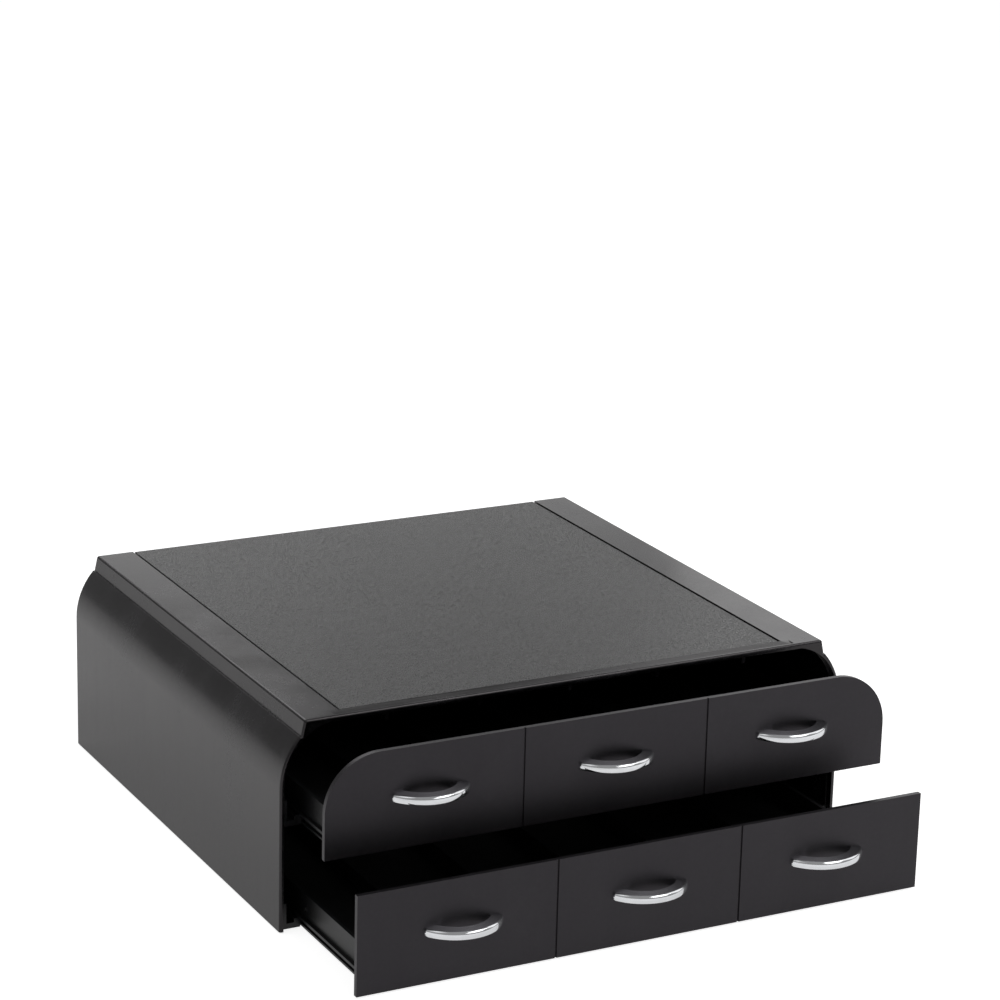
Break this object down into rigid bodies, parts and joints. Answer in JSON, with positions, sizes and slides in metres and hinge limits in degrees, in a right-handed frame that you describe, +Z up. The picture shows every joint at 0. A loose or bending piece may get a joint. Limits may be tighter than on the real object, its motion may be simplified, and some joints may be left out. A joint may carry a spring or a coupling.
{
  "type": "coffee pod drawer",
  "caption": "Low worktop cabinet with round shoulders and a grained top panel, whose stacked pod drawers slide out on side runners and have bow handles.",
  "frame": {"origin": "middle of the footprint on the worktop, with both drawers part open", "axes": "+X to the right seen from the front, +Y from the front to the back, +Z up; the drawers slide out towards -Y"},
  "size_m": [0.357, 0.4192, 0.122],
  "materials": {
    "housing_plastic": "satin black moulded plastic",
    "grained_panel": "leather-grained black plastic",
    "front_plastic": "fine satin black plastic",
    "tray_plastic": "satin black plastic",
    "runner_plastic": "smooth black plastic",
    "handle_chrome": "polished chrome",
    "screw_steel": "zinc-plated steel",
    "foot_rubber": "matte black rubber"
  },
  "bodies": {
    "housing": {"housing_shell": "housing_plastic", "top_panel": "grained_panel", "back_panel": "housing_plastic", "lower_runner_left": "runner_plastic", "lower_runner_right": "runner_plastic", "upper_runner_left": "runner_plastic", "upper_runner_right": "runner_plastic", "runner_screws": "screw_steel", "back_screws": "screw_steel", "foot_pads": "foot_rubber"},
    "upper_drawer": {"upper_tray": "tray_plastic", "upper_front": "front_plastic", "upper_handle_left": "handle_chrome", "upper_handle_middle": "handle_chrome", "upper_handle_right": "handle_chrome", "upper_handle_screws": "screw_steel", "upper_front_screws": "screw_steel", "upper_stop_clips": "runner_plastic"},
    "lower_drawer": {"lower_tray": "tray_plastic", "lower_front": "front_plastic", "lower_handle_left": "handle_chrome", "lower_handle_middle": "handle_chrome", "lower_handle_right": "handle_chrome", "lower_handle_screws": "screw_steel", "lower_front_screws": "screw_steel", "lower_stop_clips": "runner_plastic"}
  },
  "joints": [
    {"name": "upper_drawer_slide", "type": "slide", "parent": "housing", "child": "upper_drawer", "axis": [0, -1, 0], "range_m": [-0.05, 0.16]},
    {"name": "lower_drawer_slide", "type": "slide", "parent": "housing", "child": "lower_drawer", "axis": [0, -1, 0], "range_m": [-0.0915, 0.1185]}
  ]
}
